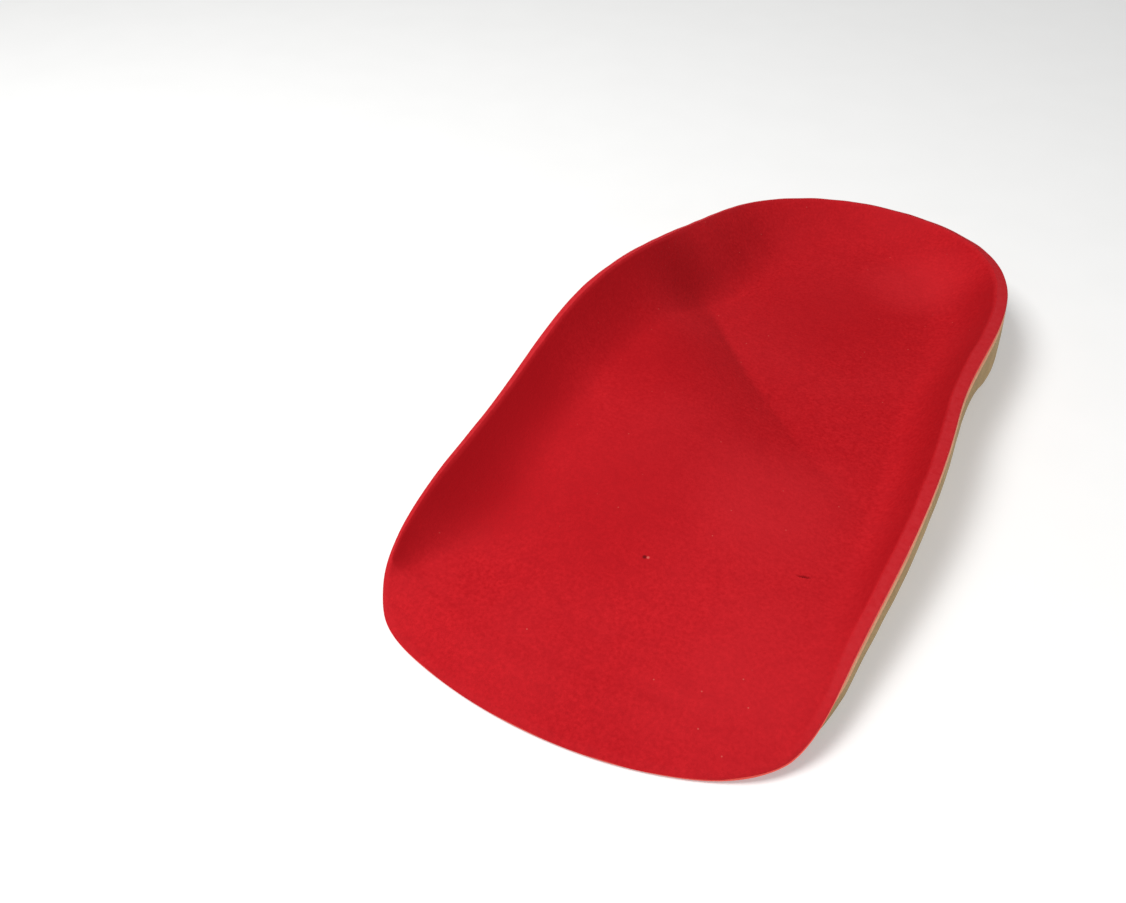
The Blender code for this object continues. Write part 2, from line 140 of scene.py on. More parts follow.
# The rim, once round from the back of the heel by the arch side, the toes and the outer side, as in the
# solids. across is a share of its half width, along of LENGTH and height of its rise. lip, wall and flap are
# shares of LIP_WIDTH, WALL_WIDTH and FLAP_LENGTH. steep is how many times its mean slope the wall has at its
# top. skive is how much of the cover's thickness is trimmed away at its very edge. edge, flare and undercut
# are shares of BASE_EDGE_HEIGHT, of BASE_EDGE_FLARE or HEEL_POST_FLARE, and of UNDERCUT in front of the heel
# post.
RimPoint = namedtuple(
    "RimPoint", "across half_width along height rise lip wall steep flap skive edge flare undercut"
)
RIM = (
    RimPoint(0.00, HALF_HEEL, 0.000, 0.82, SIDE_HEIGHT, 0.8, 0.95, 1.9, 0.0, 0.30, 1.0, 0.3, 0.20),
    RimPoint(0.62, HALF_HEEL, 0.025, 0.84, SIDE_HEIGHT, 0.7, 1.00, 1.9, 0.0, 0.30, 1.0, 0.2, 0.20),
    RimPoint(1.05, HALF_HEEL, 0.112, 0.94, SIDE_HEIGHT, 0.7, 1.00, 1.7, 0.0, 0.30, 1.0, 0.2, 0.40),
    RimPoint(0.935, HALF_FOREFOOT, 0.245, 0.78, ARCH_HEIGHT, 0.7, 1.02, 1.45, 0.0, 0.30, 1.0, 0.3, 0.90),
    RimPoint(0.965, HALF_FOREFOOT, 0.405, 0.98, ARCH_HEIGHT, 0.7, 0.80, 1.40, 0.0, 0.30, 1.0, 0.5, 1.30),
    RimPoint(0.97, HALF_FOREFOOT, 0.567, 0.98, ARCH_HEIGHT, 0.7, 0.76, 1.40, 0.0, 0.30, 1.0, 0.5, 1.20),
    RimPoint(0.925, HALF_FOREFOOT, 0.716, 0.73, ARCH_HEIGHT, 0.6, 0.82, 1.46, 0.0, 0.30, 1.0, 0.5, 0.80),
    RimPoint(0.915, HALF_FOREFOOT, 0.842, 0.49, ARCH_HEIGHT, 0.5, 0.89, 1.60, 0.0, 0.30, 0.9, 0.5, 0.30),
    RimPoint(0.888, HALF_FOREFOOT, 0.896, 0.365, ARCH_HEIGHT, 0.4, 0.62, 1.5, 0.0, 0.40, 0.6, 0.3, 0.15),
    RimPoint(0.855, HALF_FOREFOOT, 0.928, 0.25, ARCH_HEIGHT, 0.4, 0.40, 1.5, 0.05, 0.50, 0.4, 0.1, 0.12),
    RimPoint(0.775, HALF_FOREFOOT, 0.957, 0.15, ARCH_HEIGHT, 0.5, 0.30, 1.9, 0.70, 0.60, 0.3, 0.0, 0.10),
    RimPoint(0.46, HALF_FOREFOOT, 0.987, 0.00, ARCH_HEIGHT, 0.5, 0.30, 1.9, 1.0, 0.65, 0.3, 0.0, 0.10),
    RimPoint(-0.14, HALF_FOREFOOT, 0.989, 0.00, SIDE_HEIGHT, 0.5, 0.30, 1.9, 1.0, 0.65, 0.3, 0.0, 0.10),
    RimPoint(-0.65, HALF_FOREFOOT, 0.955, 0.00, SIDE_HEIGHT, 0.5, 0.30, 1.9, 0.9, 0.60, 0.3, 0.0, 0.10),
    RimPoint(-0.97, HALF_FOREFOOT, 0.894, 0.26, SIDE_HEIGHT, 0.5, 0.30, 1.9, 0.30, 0.40, 0.35, 0.3, 0.10),
    RimPoint(-1.01, HALF_FOREFOOT, 0.806, 0.52, SIDE_HEIGHT, 0.7, 0.36, 1.9, 0.0, 0.12, 0.75, 0.6, 0.30),
    RimPoint(-0.995, HALF_FOREFOOT, 0.655, 0.80, SIDE_HEIGHT, 0.85, 0.46, 1.9, 0.0, 0.12, 1.0, 1.0, 0.60),
    RimPoint(-0.925, HALF_FOREFOOT, 0.480, 0.97, SIDE_HEIGHT, 0.95, 0.58, 1.9, 0.0, 0.12, 1.0, 1.0, 0.70),
    RimPoint(-0.878, HALF_FOREFOOT, 0.408, 0.98, SIDE_HEIGHT, 1.0, 0.62, 1.9, 0.0, 0.12, 1.0, 1.0, 0.60),
    RimPoint(-1.07, HALF_HEEL, 0.285, 0.99, SIDE_HEIGHT, 1.0, 0.68, 1.9, 0.0, 0.12, 1.0, 1.0, 0.50),
    RimPoint(-0.95, HALF_HEEL, 0.142, 0.94, SIDE_HEIGHT, 1.0, 0.90, 2.3, 0.0, 0.12, 1.0, 0.8, 0.30),
    RimPoint(-0.59, HALF_HEEL, 0.040, 0.86, SIDE_HEIGHT, 0.9, 0.95, 1.9, 0.0, 0.30, 1.0, 0.5, 0.20),
)

# The bed between the walls, from the heel to the toes, as in the solids. along is a share of LENGTH.
# outer, middle and arch are how much of ARCH_FILL_HEIGHT the bed has gained over the level below it.
# level is the share of the way from the heel bed's height down to the front bed's. outer and arch are at
# BED_SIDE_SHARE of HALF_FOREFOOT to either side.
BedRow = namedtuple("BedRow", "along level outer middle arch")
BED = (
    BedRow(0.00, 0.00, 0.06, 0.06, 0.06),
    BedRow(0.17, 0.00, 0.03, 0.00, 0.05),
    BedRow(0.30, 0.00, 0.02, 0.02, 0.20),
    BedRow(0.42, 0.10, 0.06, 0.17, 0.50),
    BedRow(0.55, 0.30, 0.16, 0.32, 0.56),
    BedRow(0.68, 0.50, 0.27, 0.33, 0.36),
    BedRow(0.80, 0.75, 0.28, 0.22, 0.12),
    BedRow(0.92, 1.00, 0.06, 0.05, 0.04),
    BedRow(1.00, 1.00, 0.00, 0.00, 0.00),
)
BED_SIDE_SHARE = 0.70

# Borders of the raised pad, as in the solids. Ends are shares of HALF_FOREFOOT across and of LENGTH along,
# with the pad on the left of the way from start to end. bow is how far the middle of a border bends into the
# pad, as a share of LENGTH, and start_softness and end_softness are the shares of LENGTH over which the pad
# rises. roll is 1 for a pad that meets the bed in a crease and rolls over to its top and 0 for one that is
# soft at both ends, and depth is how much of the pad's height the border takes away.
PadBorder = namedtuple(
    "PadBorder", "start_across start_along end_across end_along bow start_softness end_softness roll depth"
)
PAD_BORDERS = (
    PadBorder(-0.46, 0.560, 0.62, 0.345, 0.012, 0.300, 0.115, 1.0, 1.0),
    PadBorder(-0.24, 0.795, -0.84, 0.655, 0.000, 0.045, 0.045, 0.8, 0.2),
    PadBorder(0.78, 0.860, -0.24, 0.900, 0.000, 0.220, 0.220, 0.0, 1.0),
    PadBorder(-1.15, 0.760, -0.80, 0.470, 0.000, 0.300, 0.300, 0.0, 0.25),
)

# How far beyond a pad border's ends, squared, its bend goes on, and how far its start's softness grows
BOW_REACH = 4.0
SOFTENING_REACH = 1.4
# How closely a border's softness keeps to its start, and its lost roll to its end: higher is closer
SOFTENING_POWER = 4
ROLL_LOSS_POWER = 8
# Share of FLAP_LENGTH from which a flap's wall is soft at its top too
SOFT_FLAP_SHARE = 0.5

# The line inside the outline that the rings shrink to, with its ends as shares of LENGTH and its place
# across as a share of HALF_FOREFOOT
SPINE_HEEL = 0.20
SPINE_FRONT = 0.80
SPINE_ACROSS = -0.04

# Small cuts in the cover: where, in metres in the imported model's frame, which way they run in degrees,
# and their size. A cut's raised border is given in half sizes of the cut and as a share of its depth. The
# mesh is refined within NICK_REACH of a cut where it faces up.
Nick = namedtuple("Nick", "x y heading length width depth")
NICKS = (
    Nick(-0.0273, 0.0400, 24.0, 0.0022, 0.00034, 0.0004),
)
NICK_REACH = 0.0030
NICK_CUTS = 4
NICK_SQUARENESS = 4
NICK_BORDER_PLACE = 1.5
NICK_BORDER_WIDTH = 0.35
NICK_BORDER_HEIGHT = 0.25
FACING_UP = 0.5

# A pinprick in the cover and the light speck beside it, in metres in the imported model's frame
PINPRICK = (-0.0022, 0.0513, 0.0087)
PINPRICK_SPECK = (-0.0028, 0.0511, 0.0087)
PINPRICK_REACH = 0.00050

# Soft patches of the cover: the darker ones are painted shade on the pad and the arch wall, and one darkens
# the middle of the heel cup; the lighter ones are painted light, one of them a painted highlight on the heel
# cup's back wall. Their middles, in metres in the imported model's frame, how far they reach, how strong they
# are, and whether they are lighter. A patch is at its full strength out to PATCH_CORE of its reach.
Patch = namedtuple("Patch", "x y z reach strength lighter")
PATCHES = (
    # Darker in the middle of the heel cup
    Patch(-0.0006, -0.0408, 0.0068, 0.0240, 0.40, False),
    # Painted shade on the pad and the arch wall
    Patch(0.0100, 0.0452, 0.0105, 0.0220, 0.45, False),
    Patch(0.0090, 0.0150, 0.0120, 0.0300, 0.20, False),
    Patch(0.0247, 0.0050, 0.0140, 0.0180, 0.50, False),
    Patch(0.0360, 0.0340, 0.0150, 0.0160, 0.80, False),
    Patch(0.0335, 0.0530, 0.0095, 0.0165, 0.85, False),
    # Painted highlight on the heel cup's back wall
    Patch(-0.0105, -0.0650, 0.0070, 0.0155, 0.40, True),
    # Painted light on the outer half towards the toes
    Patch(-0.0165, 0.0270, 0.0085, 0.0200, 0.30, True),
    Patch(-0.0310, 0.0560, 0.0060, 0.0320, 0.15, True),
)
PATCH_CORE = 0.3

# The photograph's camera, with its turn in degrees and its lens and sensor in millimetres
CAMERA_PLACE = (-0.05925, 0.1610, 0.1395)
CAMERA_TURN = (49.1, 0.0, -145.9)
CAMERA_LENS = 32.643
SENSOR_WIDTH = 36.0
NEAREST_SEEN = 0.01

# Studio light and floor
KEY_PLACE = (0.190, 0.200, 0.470)
KEY_AIM = (0.0, 0.0, 0.0)
KEY_SIZE = (0.22, 0.22)
KEY_POWER = 2.25
SIDE_PLACE = (-0.230, 0.020, 0.018)
SIDE_AIM = (-0.040, 0.020, 0.010)
SIDE_SIZE = (0.240, 0.030)
SIDE_POWER = 0.15
FILL_STRENGTH = 0.27
FLOOR_GLOW = 0.30
FLOOR_DROP = 0.00005
FLOOR_HALF_SIZE = 3.0
FLOOR_DARKER = (0.80, 0.80, 0.79, 1.0)
FLOOR_PALER = (0.84, 0.84, 0.83, 1.0)
FLOOR_PATTERN = (60.0, 2.0)
FLOOR_BUMP = (0.02, 0.001)
FLOOR_ROUGHNESS = 0.9
FLOOR_SHINE = 0.2
WHITE = (1.0, 1.0, 1.0, 1.0)

# Colours as they look on screen, from 0 to 255
PILE_DARKER = (186, 14, 24)
PILE_LIGHTER = (208, 30, 38)
CLUMP_RED = (178, 16, 28)
MOTTLE_RED = (200, 34, 42)
SPECK_PINK = (224, 110, 98)
# Reds of the patches: the darker one mostly painted shade, the lighter one painted light
DARKER_PATCH_RED = (176, 12, 22)
PAINTED_LIGHT_RED = (222, 44, 52)
# Painted shade on the walls beside the lip
WALL_SHADE_RED = (160, 8, 18)
LIP_RED = (206, 44, 51)
# Paler cut side: a cut edge's colour, and also painted light against the shade it stands in
CUT_SIDE_PALE_AND_PAINTED_LIGHT_RED = (240, 92, 80)
NICK_RED = (70, 6, 10)
PINPRICK_PINK = (226, 120, 110)
TAN_DARKER = (208, 148, 112)
TAN_LIGHTER = (230, 176, 140)
TAN_BLOTCH_TONE = (210, 138, 108)
KHAKI_DARKER = (144, 118, 77)
KHAKI_LIGHTER = (164, 138, 95)
GRIND_BROWN = (132, 106, 70)
KHAKI_BLOTCH_TONE = (182, 156, 114)
# Painted shade of the shell near the floor
KHAKI_FLOOR_SHADE = (114, 88, 54)

# Patterns of the materials: scale in turns a metre, then detail and roughness where they matter
PILE_PATTERN = (1500.0, 3.0, 0.6)
CLUMP_PATTERN = (420.0, 2.0)
MOTTLE_PATTERN = (38.0, 3.0)
LIP_FUZZ_PATTERN = (900.0, 3.0, 0.7)
TAN_FIBRE_PATTERN = (2200.0, 3.0, 0.7)
TAN_BLOTCH_PATTERN = (160.0, 2.0)
SHELL_GRAIN_PATTERN = (1700.0, 3.0, 0.6)
SHELL_BLOTCH_PATTERN = (70.0, 3.0)
GRIND_PATTERN = (120.0, 3.0, 0.6)
GRIND_STRETCH = (1.0, 1.0, 22.0)

# How a pattern fades in: between which of its values, and from and to which share where that is not 0 and 1
PILE_FADE = (0.32, 0.68)
CLUMP_FADE = (0.35, 0.70, 0.0, 0.35)
MOTTLE_FADE = (0.40, 0.70, 0.0, 0.35)
LIP_FUZZ_FADE = (0.30, 0.70, 0.35, 1.0)
TAN_FIBRE_FADE = (0.3, 0.7)
TAN_BLOTCH_FADE = (0.4, 0.7, 0.0, 0.4)
SHELL_GRAIN_FADE = (0.3, 0.7)
SHELL_BLOTCH_FADE = (0.45, 0.75, 0.0, 0.4)
GRIND_FADE = (0.45, 0.75, 0.0, 0.45)

# Roughness of each material, between the same kind of values of its finest pattern
COVER_ROUGHNESS = (0.3, 0.7, 0.72, 0.88)
TAN_ROUGHNESS = (0.3, 0.7, 0.75, 0.9)
SHELL_ROUGHNESS = (0.3, 0.7, 0.68, 0.86)
# How much of a mirror each material is
COVER_SHINE = 0.10
TAN_SHINE = 0.25
SHELL_SHINE = 0.25

# Bumps: strength, and depth in metres
PILE_BUMP = (0.30, 0.00022)
CLUMP_BUMP = (0.12, 0.00050)
TAN_FIBRE_BUMP = (0.4, 0.00015)
SHELL_GRAIN_BUMP = (0.35, 0.00025)
GRIND_BUMP = (0.25, 0.00030)

# Light specks in the cover: the scale of their cells in turns a metre, which share of the cells holds none,
# how large a speck is in its cell, and how strong it is
SPECK_CELL_SCALE = 400.0
SPECKLESS_SHARE = 0.74
SPECK_EDGE = 0.070
SPECK_CORE = 0.035
SPECK_STRENGTH = 0.55

# How strongly each mark is coloured, with the edges and cores of the smallest as shares of PINPRICK_REACH
WALL_SHADE_STRENGTH = 0.90
NICK_STRENGTH = 0.70
PINPRICK_STRENGTH = 0.75
PINPRICK_CORE = 0.4
PINPRICK_SPECK_STRENGTH = 0.7
PINPRICK_SPECK_EDGE = 0.7
PINPRICK_SPECK_CORE = 0.3


def closed_spline(points, places):
    """Points of the smooth closed cubic curve through points, at places that are shares of the way round."""
    chords = np.linalg.norm(np.roll(points, -1, 0)[:, :2] - points[:, :2], axis=1)
    knots = np.concatenate([[0.0], np.cumsum(chords)])
    count = len(points)
    system = np.zeros((count, count))
    wanted = np.zeros_like(points)
    for i in range(count):
        before, after = chords[i - 1], chords[i]
        system[i, i - 1] = after
        system[i, i] = 2 * (before + after)
        system[i, (i + 1) % count] = before
        slope_before = (points[i] - points[i - 1]) / before
        slope_after = (points[(i + 1) % count] - points[i]) / after
        wanted[i] = 3 * (after * slope_before + before * slope_after)
    slopes = np.linalg.solve(system, wanted)
    distance = places * knots[-1]
    i = np.clip(np.searchsorted(knots, distance, side="right") - 1, 0, count - 1)
    j = (i + 1) % count
    step = chords[i][:, None]
    u = (distance[:, None] - knots[i][:, None]) / step
    return (
        points[i] * (2 * u**3 - 3 * u**2 + 1)
        + slopes[i] * step * (u**3 - 2 * u**2 + u)
        + points[j] * (3 * u**2 - 2 * u**3)
        + slopes[j] * step * (u**3 - u**2)
    )


def ease(share):
    """A smooth step from 0 to 1."""
    share = np.clip(share, 0.0, 1.0)
    return share * share * (3 - 2 * share)


def table_at(rows, along):
    """Smooth values of a table's columns at shares of the length."""
    stations = np.array([row.along for row in rows])
    values = np.array([row[1:] for row in rows])
    slopes = np.gradient(values, stations, axis=0)
    along = np.clip(along, stations[0], stations[-1])
    i = np.clip(np.searchsorted(stations, along, side="right") - 1, 0, len(rows) - 2)
    step = (stations[i + 1] - stations[i])[..., None]
    u = (along - stations[i])[..., None] / step
    return (
        values[i] * (2 * u**3 - 3 * u**2 + 1)
        + slopes[i] * step * (u**3 - 2 * u**2 + u)
        + values[i + 1] * (3 * u**2 - 2 * u**3)
        + slopes[i + 1] * step * (u**3 - u**2)
    )


def pad_share(x, y):
    """How much of the raised pad's height is reached at points: 0 outside its borders, 1 well inside."""
    share = 1.0
    for border in PAD_BORDERS:
        start = np.array([border.start_across * HALF_FOREFOOT, border.start_along * LENGTH])
        end = np.array([border.end_across * HALF_FOREFOOT, border.end_along * LENGTH])
        way = (end - start) / np.linalg.norm(end - start)
        inside = way[0] * (y - start[1]) - way[1] * (x - start[0])
        halfway = np.linalg.norm(end - start) / 2
        along = (way[0] * (x - start[0]) + way[1] * (y - start[1])) / halfway - 1
        inside = inside - border.bow * LENGTH * (1 - np.clip(along**2, 0.0, BOW_REACH))
        to_start = np.clip((1 - along) / 2, 0.0, SOFTENING_REACH) ** SOFTENING_POWER
        to_end = np.clip((1 + along) / 2, 0.0, 1.0) ** ROLL_LOSS_POWER
        softness = border.end_softness + (border.start_softness - border.end_softness) * to_start
        roll = border.roll * (1 - to_end)
        risen = np.clip(inside / (softness * LENGTH), 0.0, 1.0)
        rise = ease(risen) * (1 - roll) + risen * (2 - risen) * roll
        share = share * (1 - border.depth * (1 - rise))
    return share


def bed_height(x, y):
    """Height of the cover's top between the walls, with x and y from the back of the heel."""
    level, outer, middle, arch = np.moveaxis(table_at(BED, y / LENGTH), -1, 0)
    side = x / (BED_SIDE_SHARE * HALF_FOREFOOT)
    gained = middle + (arch - outer) / 2 * side + ((arch + outer) / 2 - middle) * side**2
    height = HEEL_BED_HEIGHT + (FRONT_BED_HEIGHT - HEEL_BED_HEIGHT) * level + gained * ARCH_FILL_HEIGHT
    above_front = height + PAD_HEIGHT * pad_share(x, y) - FRONT_BED_HEIGHT
    return FRONT_BED_HEIGHT + (above_front + np.hypot(above_front, FRONT_BED_SOFTNESS)) / 2


Stations = namedtuple(
    "Stations", "x y height spine_x spine_y reach lip wall steep flap skive edge flare undercut wander"
)


def wander_round(count, scale, seed):
    """Gentle irregularity of a hand-trimmed edge, once round the rim."""
    values = []
    for i in range(count):
        turn = 2 * math.pi * i / count
        values.append(noise.noise(Vector((math.cos(turn) * scale, math.sin(turn) * scale, seed))))
    return np.array(values)


def rim_stations():
    """The rim's points in metres, evenly spaced, each with its distance from the spine and its edge sizes."""
    rows = np.array([
        (p.across * p.half_width, p.along * LENGTH, p.height * p.rise, p.lip * LIP_WIDTH, p.wall * WALL_WIDTH,
         p.steep, p.flap * FLAP_LENGTH, p.skive * COVER_THICKNESS, p.edge * BASE_EDGE_HEIGHT, p.flare,
         p.undercut * UNDERCUT)
        for p in RIM
    ])
    columns = closed_spline(rows, np.arange(RIM_POINTS) / RIM_POINTS).T
    x, y, height, lip, wall, steep, flap, skive, edge, flare, undercut = columns
    height = np.maximum(height, FRONT_BED_HEIGHT)
    spine_x = np.full(RIM_POINTS, SPINE_ACROSS * HALF_FOREFOOT)
    spine_y = np.clip(y, SPINE_HEEL * LENGTH, SPINE_FRONT * LENGTH)
    reach = np.hypot(x - spine_x, y - spine_y)
    post_blend = np.where(x > spine_x, HEEL_POST_BLEND_ARCH, HEEL_POST_BLEND_OUTER)
    post = ease((HEEL_POST_LENGTH - y) / post_blend)
    post_edge = height - STACK_ABOVE_BASE - HEEL_POST_FOOT
    edge = np.maximum(edge + (post_edge - edge) * post, BASE_LEAST_THICKNESS)
    undercut = undercut + (HEEL_POST_UNDERCUT - undercut) * post
    flare = np.maximum(flare, 0.0) * (BASE_EDGE_FLARE + (HEEL_POST_FLARE - BASE_EDGE_FLARE) * post)
    lip = lip * (1 + LIP_WANDER_SHARE * wander_round(RIM_POINTS, LIP_WANDER_SCALE, LIP_WANDER_SEED))
    wander = wander_round(RIM_POINTS, EDGE_WANDER_SCALE, EDGE_WANDER_SEED)
    flap = np.maximum(flap, 0.0)
    columns = (
        x, y, height, spine_x, spine_y, reach, lip, wall, steep, flap, skive, edge, flare, undercut, wander
    )
    return Stations(*(column[:, None] for column in columns))


def top_points(s, share):
    """Points of the cover's top at shares of the way from the spine to the rim, one row of them a station."""
    x = s.spine_x + (s.x - s.spine_x) * share
    y = s.spine_y + (s.y - s.spine_y) * share
    inward = (1 - share) * s.reach
    climbed = np.clip(1 - (inward - s.flap - s.lip) / s.wall, 0.0, 1.0)
    soft = np.clip(s.flap / (FLAP_LENGTH * SOFT_FLAP_SHARE), 0.0, 1.0)
    wall = s.steep * climbed - (s.steep - 1) * (1 - (1 - climbed) ** (s.steep / (s.steep - 1)))
    climbed = wall * (1 - soft) + ease(climbed) * soft
    height = bed_height(x, y)
    height = height + (s.height - height) * climbed
    fallen = ease((s.flap - LAYER_CLEARANCE - inward) / FLAP_BEND_LENGTH)
    return np.stack([x, y, height + (FLAP_HEIGHT - height) * fallen], axis=-1)


def body_shares(s, bed_rings, wall_rings):
    """Where the rings up to the lip cross the way from the spine to the rim."""
    lip_start = 1 - (s.flap + s.lip) / s.reach
    foot = lip_start - s.wall / s.reach
    bed = FIRST_RING_SHARE + (1 - FIRST_RING_SHARE) * np.arange(bed_rings) / (bed_rings - 1)
    wall = np.arange(1, wall_rings + 1) / wall_rings
    return np.hstack([foot * bed, foot + (lip_start - foot) * wall])


def flare_at(s, drop):
    """How far the edge stands out beyond the rim at a depth below the cover's top."""
    return s.flare * (drop - COVER_THICKNESS) / (STACK_ABOVE_BASE - COVER_THICKNESS + s.edge)


def lowered(points, drop):
    """The same points further down."""
    moved = points.copy()
    moved[..., 2] -= drop
    return moved


def cover_surface(s):
    """The cover from the spine out over its trimmed lip, down its cut edge and back along its underside."""
    shares = body_shares(s, BED_RING_COUNT, WALL_RING_COUNT)
    lip_start = shares[:, -1:]
    ring = np.arange(1, LIP_RING_COUNT + 1) / LIP_RING_COUNT
    lip_shares = lip_start + ring * (1 - lip_start)
    inward = (1 - lip_shares) * s.reach
    lip = top_points(s, lip_shares)
    rounding = np.clip(1 - inward / EDGE_ROUNDING, 0.0, 1.0)
    lip[..., 2] -= s.skive * ring * (1 + SKIVE_WANDER_SHARE * s.wander)
    lip[..., 2] -= EDGE_ROUNDING * (1 - np.sqrt(1 - rounding**2))
    brink = lip[:, -1:]
    foot = lowered(top_points(s, np.ones_like(s.reach)), COVER_THICKNESS)
    seam = foot + (0, 0, SEAM_HEIGHT)
    side = [brink + (seam - brink) * part for part in CUT_SIDE_RINGS]
    to_spine = np.stack([s.spine_x - s.x, s.spine_y - s.y, np.zeros_like(s.x)], axis=-1)
    side.append(seam)
    side.append(foot + to_spine / s.reach[..., None] * SEAM_TUCK)
    under_shares = body_shares(s, HIDDEN_BED_RING_COUNT, COVER_UNDER_WALL_RING_COUNT)
    under = lowered(top_points(s, under_shares), COVER_THICKNESS)[:, ::-1]
    return np.hstack([top_points(s, shares), lip, *side, under])


def layer_edge(s, drop, standout):
    """The edge points of the layers below the cover, at a depth below the cover's top."""
    standout = standout * np.clip(s.flare / (BASE_EDGE_FLARE * FULL_STANDOUT_FLARE), 0.0, 1.0)
    outmost = 1 + (flare_at(s, drop) + standout - s.flap) / s.reach
    return lowered(top_points(s, outmost), drop)


def tan_surface(s):
    """The thin layer between the cover and the shell, of which only the edge shows."""
    inner = body_shares(s, HIDDEN_BED_RING_COUNT, HIDDEN_WALL_RING_COUNT)
    top = lowered(top_points(s, inner), TAN_TOP_DROP)
    bottom = lowered(top_points(s, inner), TAN_BOTTOM_DROP)[:, ::-1]
    edge = []
    for part in TAN_EDGE_RINGS:
        drop = TAN_TOP_DROP + (TAN_BOTTOM_DROP - TAN_TOP_DROP) * part
        edge.append(layer_edge(s, drop, TAN_STANDOUT * part))
    return np.hstack([top, *edge, bottom])


def shell_surface(s):
    """The khaki shell: its bed, its ground edge wall, the undercut and the flat sole."""
    inner = body_shares(s, HIDDEN_BED_RING_COUNT, HIDDEN_WALL_RING_COUNT)
    top = lowered(top_points(s, inner), SHELL_TOP_DROP)
    brink = layer_edge(s, SHELL_TOP_DROP, SHELL_STANDOUT)
    spine = np.concatenate([s.spine_x, s.spine_y], axis=1)[:, None]
    rim = brink[..., :2]
    reach = np.linalg.norm(rim - spine, axis=-1)
    edge_foot = np.maximum(brink[..., 2] - s.edge, 0.0)
    widest = 1 + (s.flare - flare_at(s, SHELL_TOP_DROP)) / reach
    outward = (rim - spine) / reach[..., None]
    side = []
    for part in SHELL_SIDE_RINGS:
        share = 1 + (widest - 1) * part
        bulge = GRIND_WANDER * s.wander * math.sin(math.pi * part)
        place = spine + (rim - spine) * share[..., None] + outward * bulge[..., None]
        height = brink[..., 2] + (edge_foot - brink[..., 2]) * part
        side.append(np.concatenate([place, height[..., None]], axis=-1))
    steps = []
    sole = 1 - s.undercut / reach
    for part in UNDERCUT_RINGS:
        rounding = SHELL_ROUNDING * (part == 1.0) / reach
        height = edge_foot * (1 - math.cos(part * math.pi / 2))
        steps.append((sole + part * (widest - sole) - rounding, height))
    for part in np.linspace(1.0, LAST_SOLE_RING_SHARE, UNDERSIDE_RING_COUNT):
        steps.append((sole * part, np.zeros_like(edge_foot)))
    under = [
        np.concatenate([spine + (rim - spine) * share[..., None], height[..., None]], axis=-1)
        for share, height in steps
    ]
    return np.hstack([top, *side, *under])


def solid_mesh(name, columns, shift):
    """A closed mesh of columns of points that run from the spine, over the edge and back under the piece."""
    count, rings = columns.shape[:2]
    points = (columns + shift).reshape(-1, 3)
    faces = []
    for i in range(count):
        j = (i + 1) % count
        for k in range(rings - 1):
            faces.append((i * rings + k, i * rings + k + 1, j * rings + k + 1, j * rings + k))
    last = rings - 1
    for i in range(count // 2):
        near, far = (count - i) % count, count - i - 1
        top = [i * rings, (i + 1) * rings, far * rings, near * rings]
        bottom = [corner + last for corner in top]
        faces.append(tuple(dict.fromkeys(top)))
        faces.append(tuple(dict.fromkeys(bottom[::-1])))
    data = bpy.data.meshes.new(name)
    data.from_pydata(points.tolist(), [], faces)
    data.update()
    return data


def set_share(data, name, values):
    """Keep one number a point on the mesh, for its material to read."""
    attribute = data.attributes.new(name, "FLOAT", "POINT")
    attribute.data.foreach_set("value", np.asarray(values, dtype=np.float32).ravel())


def nick_shares(nick, points):
    """How deep in a nick each point is, and how far on its raised border."""
    heading = math.radians(nick.heading)
    dx = points[:, 0] - nick.x
    dy = points[:, 1] - nick.y
    along = (dx * math.cos(heading) + dy * math.sin(heading)) / (nick.length / 2)
    across = (-dx * math.sin(heading) + dy * math.cos(heading)) / (nick.width / 2)
    out = np.hypot(along, across)
    inside = np.exp(-out**NICK_SQUARENESS)
    border = np.exp(-((out - NICK_BORDER_PLACE) / NICK_BORDER_WIDTH) ** 2)
    return inside, border


def cut_nicks(data):
    """Refine the cover round each nick and press the nick into its top."""
    mesh = bmesh.new()
    mesh.from_mesh(data)
    for nick in NICKS:
        near = {
            v for v in mesh.verts
            if math.hypot(v.co.x - nick.x, v.co.y - nick.y) < NICK_REACH and v.normal.z > FACING_UP
        }
        close = [edge for edge in mesh.edges if near.issuperset(edge.verts)]
        bmesh.ops.subdivide_edges(mesh, edges=close, cuts=NICK_CUTS, use_grid_fill=True)
        mesh.normal_update()
    mesh.to_mesh(data)
    mesh.free()
    points = np.empty(len(data.vertices) * 3)
    data.vertices.foreach_get("co", points)
    points = points.reshape(-1, 3)
    normals = np.array([v.normal.z for v in data.vertices])
    cut = np.zeros(len(points))
    for nick in NICKS:
        inside, border = nick_shares(nick, points)
        facing_up = normals > FACING_UP
        points[:, 2] += facing_up * (NICK_BORDER_HEIGHT * border - inside) * nick.depth
        cut = np.maximum(cut, inside * facing_up)
    data.vertices.foreach_set("co", points.ravel())
    set_share(data, "cut", cut)
    data.update()


def add_piece(name, data, material, node):
    """Put a piece in the scene for the solid that it stands for."""
    data.materials.append(material)
    data.shade_smooth()
    data.set_sharp_from_angle(angle=math.radians(SHARP_ANGLE))
    piece = bpy.data.objects.new(name, data)
    bpy.context.scene.collection.objects.link(piece)
    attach(piece, "root")
    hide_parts(node)
    return piece


